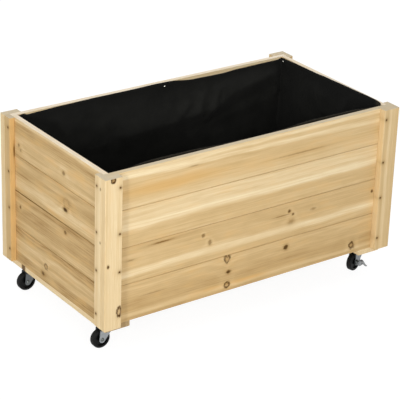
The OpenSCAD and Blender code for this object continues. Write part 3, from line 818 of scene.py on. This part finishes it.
# %% Pull the bag up from its floor
def raise_bag():
    bag = bmesh.new()
    across = round(half_x * 2 / CELL)
    deep = round(half_y * 2 / CELL)
    bmesh.ops.create_grid(bag, x_segments=across, y_segments=deep, size=0.5)
    bmesh.ops.scale(bag, vec=(half_x * 2, half_y * 2, 1), verts=bag.verts)
    bmesh.ops.translate(bag, vec=(0, 0, floor_z), verts=bag.verts)
    rows = round(height / CELL)
    edge = [e for e in bag.edges if e.is_boundary]
    for _ in range(rows):
        made = bmesh.ops.extrude_edge_only(bag, edges=edge)["geom"]
        verts = [g for g in made if isinstance(g, bmesh.types.BMVert)]
        edge = [g for g in made if isinstance(g, bmesh.types.BMEdge)
                and g.is_boundary]
        bmesh.ops.translate(bag, vec=(0, 0, height / rows), verts=verts)
    bmesh.ops.recalc_face_normals(bag, faces=bag.faces)
    return bag


# %% [markdown]
# The creases are a few straight runs on the walls, each from one point to
# another, given as distance along the wall from its left end and height
# above the bag's floor. Cloth stands proud along a crease and falls back
# faster below it than above, as cloth that hangs does. The top edge runs
# just under the rim; where it has slipped down, a list gives how far at
# places along the wall, and the edge runs smoothly from one to the next. A
# fall below zero is cloth that stands a little above the rim. On the front
# wall the cloth leans away from the board between its pins.
#
# The rounded foot, the lean and the slip fade out smoothly:
# `exp(-(distance / reach) ** 2)` is 1 where they start and close to 0 at
# twice their reach. Apart from the lean, the cloth lies close to the wall
# near the rim and round each pin.

# %% Creases and sag
BACK_CREASES = [((0.838, 0.345), (0.784, 0.325), 0.010, 0.050),
                ((0.784, 0.325), (0.673, 0.299), 0.014, 0.055),
                ((0.673, 0.299), (0.607, 0.268), 0.016, 0.060),
                ((0.607, 0.268), (0.451, 0.250), 0.016, 0.065),
                ((0.451, 0.250), (0.316, 0.242), 0.012, 0.065),
                ((0.316, 0.242), (0.200, 0.225), 0.007, 0.060),
                ((0.788, 0.254), (0.659, 0.236), 0.0035, 0.030),
                ((0.659, 0.236), (0.535, 0.196), 0.0035, 0.030),
                ((0.100, 0.352), (0.170, 0.210), 0.005, 0.030)]
BACK_CRUMPLES = [((0.617, 0.312), (0.600, 0.266), 0.0080, 0.016),
                 ((0.592, 0.262), (0.580, 0.232), 0.0070, 0.012),
                 ((0.800, 0.325), (0.820, 0.270), 0.0090, 0.016),
                 ((0.822, 0.345), (0.812, 0.300), 0.0080, 0.014),
                 ((0.566, 0.302), (0.552, 0.262), 0.0050, 0.014),
                 ((0.520, 0.290), (0.470, 0.255), 0.0050, 0.016)]
RIGHT_CREASES = [((0.165, 0.332), (0.190, 0.268), 0.005, 0.022),
                 ((0.300, 0.340), (0.220, 0.180), 0.004, 0.030)]
OTHER_CREASES = [((0.100, 0.340), (0.180, 0.150), 0.007, 0.026),
                 ((0.330, 0.330), (0.280, 0.120), 0.006, 0.024),
                 ((0.620, 0.350), (0.540, 0.180), 0.007, 0.026)]
BACK_SLIP = [(0, 0.0030), (0.015, -0.0004), (0.028, 0.0042),
             (0.06, 0.0026), (0.12, 0.0006), (0.24, -0.0012),
             (0.33, -0.0008), (0.42, -0.0022), (0.45, -0.0016),
             (0.545, 0.0078), (0.63, 0.0092), (0.69, 0.0066), (0.82, 0.0054),
             (0.842, 0.0014)]
RIGHT_SLIP = [(0, 0.0012), (0.07, -0.0005), (0.15, -0.0020),
              (0.20, -0.0041), (0.30, -0.0064), (0.38, -0.0080),
              (0.40, -0.0078), (0.427, -0.0052)]
OTHER_SLIP = [(0, 0.0010), (0.22, 0.0010), (0.45, 0.0006), (0.62, 0.0010),
              (0.842, 0.0010)]
FRONT_LEAN = [(0.02, 0), (0.14, 0.015), (0.24, 0.014), (0.34, 0.005),
              (0.45, 0), (0.50, 0.003), (0.62, 0.016), (0.74, 0.015),
              (0.82, 0.003), (0.842, 0)]
BELOW, ABOVE = 0.8, 1.4
HOLD = 0.03
SLACK, SLACK_SOFT, SLACK_FINE = 0.0035, 0.004, 0.0009
FOOT, FOOT_REACH = 0.014, 0.016
FLOOR_RISE, FLOOR_SLACK = 0.012, 0.0035
LEAN_REACH = 0.035
HEM = 0.030
ON_WALL = 0.001
CORNER, CORNER_SWELL = 0.004, 0.016


def crease(point, start, end, proud, reach):
    line = Vector(end) - Vector(start)
    share = max(0, min(1, (point - Vector(start)).dot(line)
                       / line.length_squared))
    offset = point - (Vector(start) + line * share)
    side = reach * (BELOW if offset.y < 0 else ABOVE)
    return proud * max(0, 1 - offset.length / side) ** 1.5


def pin_places():
    """The middle of each pin; there is one pin in each sixth of the box."""
    spots = {}
    for v in nodes["liner_pins"].data.vertices:
        key = (round(v.co.x / half_x), v.co.y > 0)
        spots.setdefault(key, []).append(v.co)
    return [sum(points, Vector()) / len(points) for points in spots.values()]


PINS = pin_places()


def stand_off(spot, along, up, creases, crumples, seed):
    """How far the cloth stands off the wall at a point on it."""
    point = Vector((along, up))
    ridge = max([crease(point, *c) for c in creases], default=0)
    ridge += max([crease(point, *c) for c in crumples], default=0)
    slack = 1 - math.exp(-((height - up) / HOLD) ** 2)
    pinned = min((spot - pin).length for pin in PINS)
    slack *= 1 - math.exp(-((pinned / HOLD) ** 2))
    soft = noise.fractal(Vector((along * 7, up * 9, seed)), 1.0, 2.0, 3)
    fine = noise.fractal(Vector((along * 34, up * 30, seed + 4)), 1.0, 2.0, 2)
    return slack * max(0, ridge + SLACK + SLACK_SOFT * soft
                       + SLACK_FINE * fine)


def read_off(along, edge):
    """Reads a list of (place, amount) at any place along the wall."""
    for (start, first), (end, last) in zip(edge, edge[1:]):
        if along <= end:
            share = max(0, (along - start) / (end - start))
            return first + (last - first) * share * share * (3 - 2 * share)
    return edge[-1][1]


def settle(bag):
    """Lifts the floor's cloth, moves the walls' inward and slips the edge."""
    for v in bag.verts:
        spot = v.co.copy()
        x, y, up = spot.x, spot.y, spot.z - floor_z
        wall_x = abs(x) > half_x - ON_WALL
        wall_y = abs(y) > half_y - ON_WALL
        if not (wall_x or wall_y):
            lift = noise.fractal(Vector((x * 6, y * 6, 2.5)), 1.0, 2.0, 3)
            edge = min(half_x - abs(x), half_y - abs(y))
            rise = FLOOR_RISE * math.exp(-((edge / FOOT_REACH) ** 2))
            v.co.z += max(0, rise + FLOOR_SLACK * lift)
            continue
        foot = FOOT * math.exp(-((up / FOOT_REACH) ** 2))
        if wall_y:
            along = x + half_x
            if y > 0:
                off = stand_off(spot, along, up, BACK_CREASES, BACK_CRUMPLES,
                                3)
                fall = read_off(along, BACK_SLIP)
            else:
                off = stand_off(spot, along, up, OTHER_CREASES, [], 9)
                off += read_off(along, FRONT_LEAN) * math.exp(
                    -((height - up) / LEAN_REACH) ** 2)
                fall = read_off(along, OTHER_SLIP)
            v.co.y -= math.copysign(foot + off, y)
        if wall_x:
            creases = RIGHT_CREASES if x > 0 else OTHER_CREASES
            off = stand_off(spot, half_y - y, up, creases, [],
                            15 if x > 0 else 21)
            v.co.x -= math.copysign(foot + off, x)
            fall = read_off(half_y - y, RIGHT_SLIP if x > 0 else OTHER_SLIP)
        v.co.z -= fall * math.exp(-((height - up) / HEM) ** 2)


def round_corners(bag):
    """Swings the cloth off the sharp corners; it cuts them wider lower down."""
    for v in bag.verts:
        up = (v.co.z - floor_z) / height
        r = CORNER + CORNER_SWELL * math.sin(
            math.pi * min(1, max(0, up))) ** 0.7
        cx, cy = half_x - r, half_y - r
        dx, dy = abs(v.co.x) - cx, abs(v.co.y) - cy
        if dx > 0 and dy > 0:
            reach = math.hypot(dx, dy)
            if reach > r:
                v.co.x = math.copysign(cx + dx * r / reach, v.co.x)
                v.co.y = math.copysign(cy + dy * r / reach, v.co.y)


def make_liner():
    bag = raise_bag()
    settle(bag)
    round_corners(bag)
    bmesh.ops.smooth_vert(bag, verts=[v for v in bag.verts
                                      if not v.is_boundary], factor=0.3,
                          use_axis_x=True, use_axis_y=True, use_axis_z=True)
    for face in bag.faces:
        face.smooth = True
    area = sum(f.calc_area() for f in bag.faces)
    mesh = bpy.data.meshes.new("liner_cloth")
    bag.to_mesh(mesh)
    bag.free()
    cloth = bpy.data.objects.new("liner_cloth", mesh)
    bpy.context.scene.collection.objects.link(cloth)
    skin = cloth.modifiers.new("skin", "SOLIDIFY")
    skin.thickness, skin.offset = SKIN, -1
    return cloth, area


liner_cloth, cloth_area = make_liner()
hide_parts("liner")
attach(liner_cloth, "planter")

# %% [markdown]
# The cloth is pressed from loose black fibres. It has no weave: close up it is a felt of short
# threads. It is nearly black. Its top edge along the front rim is painted browner and lighter: a
# painted highlight. Away from the rim and the right end it is painted a little greyer. This is
# painted light and shade, which leaves the cloth darker in a band under the rim and on the right
# wall, which gets less light.


# %% Non-woven cloth
FELT_SIZE, CRUMPLE_SIZE, CLOUD_SIZE = 0.9, 15, 46
# Painted highlight: how deep below the rim and how far in from the front the cloth's edge is
# lightened.
HIGHLIGHT_DEEP, HIGHLIGHT_WIDE = 12, 24
# Painted light and shade: the cloth is left darker in a band under the rim and on the right
# wall.
SHADED_BAND_DEEP, SHADED_BAND_FADE = 60, 50
RIGHT_SHADE_FROM, RIGHT_SHADE_FADE = 390, 30


def nonwoven():
    finish = Finish("nonwoven_black", Specular_IOR_Level=0.11,
                    Sheen_Weight=0.02, Sheen_Roughness=0.5)
    x, y, z = point = finish.place()
    felt = finish.even_noise(point, FELT_SIZE, 4, 0.7)
    cloud = finish.even_noise(point, CLOUD_SIZE, 3)
    crumple = finish.even_noise(point, CRUMPLE_SIZE, 3, 0.6)
    # Painted highlight: the cloth's top edge along the front rim is lightened and browned.
    front_edge = half_y * -MM + HIGHLIGHT_WIDE
    painted_highlight = (((z - (RIM * MM - HIGHLIGHT_DEEP)) / 8).clamped()
              * ((front_edge - y) / 6).clamped() * felt)
    # Painted light and shade: greyer cloth, except in a band under the rim and on the right
    # wall, which gets less light.
    painted_light = (1 - ((z - (RIM * MM - SHADED_BAND_DEEP)) / SHADED_BAND_FADE).clamped() * 0.75
             - (x / RIGHT_SHADE_FADE - RIGHT_SHADE_FROM / RIGHT_SHADE_FADE).clamped() * 0.5
             ).clamped()
    black = finish.mix((cloud * 0.5 + felt * 0.5).clamped(), srgb(9, 9, 8),
                       srgb(18, 18, 16))
    black = finish.mix(painted_light * cloud, black, srgb(34, 34, 31))
    finish.link("Base Color", finish.mix(painted_highlight, black, srgb(57, 52, 42)))
    finish.link("Roughness", 0.66 + felt * 0.2)
    finish.bump(felt * 0.25 + crumple * 1.2, 0.5, 0.0022)
    return finish


liner_cloth.data.materials.append(nonwoven().material)
print("liner finish is ready")

# %% [markdown]
# ## Light and floor
#
# A soft studio: one large lamp in front and to the left, a weak one to the
# left, one behind, one overhead, and an even pale world. A smaller lamp
# between the first two is harder: it makes the corner batten throw a narrow
# shadow along the front wall. The lamps stand low, which leaves the bottom of
# the liner in shade. The floor looks white to the camera but still takes the
# planter's shadow, because only part of what the camera sees of it is its own
# light.


# %% Lamps, world and floor
WHITE = (1, 1, 1, 1)
WORLD_LIGHT = 0.33
FLOOR_GREY, FLOOR_ROUGH = 0.8, 0.9
FLOOR_GLOW, GLOW_SHARE = 1.12, 0.82


def lamp(name, place, aim, size, power):
    data = bpy.data.lights.new(name, "AREA")
    data.energy, data.size = power, size
    made = bpy.data.objects.new(name, data)
    bpy.context.scene.collection.objects.link(made)
    toward = Vector(aim) - Vector(place)
    made.location = place
    made.rotation_euler = toward.to_track_quat("-Z", "Y").to_euler()
    return made


lamp("front_box", (-1.3, -3.2, 1.6), (0, 0, 0.30), 1.6, 51.5)
lamp("left_box", (-3.3, -1.0, 1.5), (0, 0, 0.30), 1.8, 9)
lamp("side_spot", (-3.37, -2.1, 1.5), (0, 0, 0.30), 0.45, 46)
lamp("top", (0.2, 0.2, 3.6), (0, 0, 0.3), 2.2, 30)
lamp("back_box", (2.0, 3.0, 1.5), (0, 0, 0.30), 1.8, 30)


def plain_light(tree, strength):
    light = tree.nodes.new("ShaderNodeEmission")
    light.inputs["Color"].default_value = WHITE
    light.inputs["Strength"].default_value = strength
    return light.outputs[0]


def seen_directly(tree):
    """1 for rays from the camera, from mirrors and through glass."""
    path = tree.nodes.new("ShaderNodeLightPath")
    total = path.outputs["Is Camera Ray"]
    for name in ("Is Glossy Ray", "Is Transmission Ray"):
        add = tree.nodes.new("ShaderNodeMath")
        add.operation, add.use_clamp = "ADD", True
        tree.links.new(total, add.inputs[0])
        tree.links.new(path.outputs[name], add.inputs[1])
        total = add.outputs[0]
    return total


def make_world(strength):
    world = bpy.data.worlds.new("studio")
    world.use_nodes = True
    tree = world.node_tree
    tree.nodes.clear()
    shades = []
    for power in (strength, 1.0):
        shade = tree.nodes.new("ShaderNodeBackground")
        shade.inputs["Strength"].default_value = power
        shade.inputs["Color"].default_value = WHITE
        shades.append(shade.outputs[0])
    mix = tree.nodes.new("ShaderNodeMixShader")
    tree.links.new(seen_directly(tree), mix.inputs[0])
    tree.links.new(shades[0], mix.inputs[1])
    tree.links.new(shades[1], mix.inputs[2])
    out = tree.nodes.new("ShaderNodeOutputWorld")
    tree.links.new(mix.outputs[0], out.inputs[0])
    bpy.context.scene.world = world


def make_floor():
    ground = bmesh.new()
    bmesh.ops.create_grid(ground, x_segments=1, y_segments=1, size=30)
    mesh = bpy.data.meshes.new("floor")
    ground.to_mesh(mesh)
    ground.free()
    floor = bpy.data.objects.new("floor", mesh)
    bpy.context.scene.collection.objects.link(floor)
    material = bpy.data.materials.new("pale_floor")
    material.use_nodes = True
    tree = material.node_tree
    own = tree.nodes["Principled BSDF"]
    own.inputs["Base Color"].default_value = (*[FLOOR_GREY] * 3, 1)
    own.inputs["Roughness"].default_value = FLOOR_ROUGH
    mix = tree.nodes.new("ShaderNodeMixShader")
    share = tree.nodes.new("ShaderNodeMath")
    share.operation = "MULTIPLY"
    share.inputs[1].default_value = GLOW_SHARE
    tree.links.new(seen_directly(tree), share.inputs[0])
    tree.links.new(share.outputs[0], mix.inputs[0])
    tree.links.new(own.outputs[0], mix.inputs[1])
    tree.links.new(plain_light(tree, FLOOR_GLOW), mix.inputs[2])
    tree.links.new(mix.outputs[0],
                   tree.nodes["Material Output"].inputs["Surface"])
    mesh.materials.append(material)


make_world(WORLD_LIGHT)
make_floor()
bpy.context.scene.view_settings.view_transform = "Standard"
print("studio: 5 lamps, a pale world and a floor")
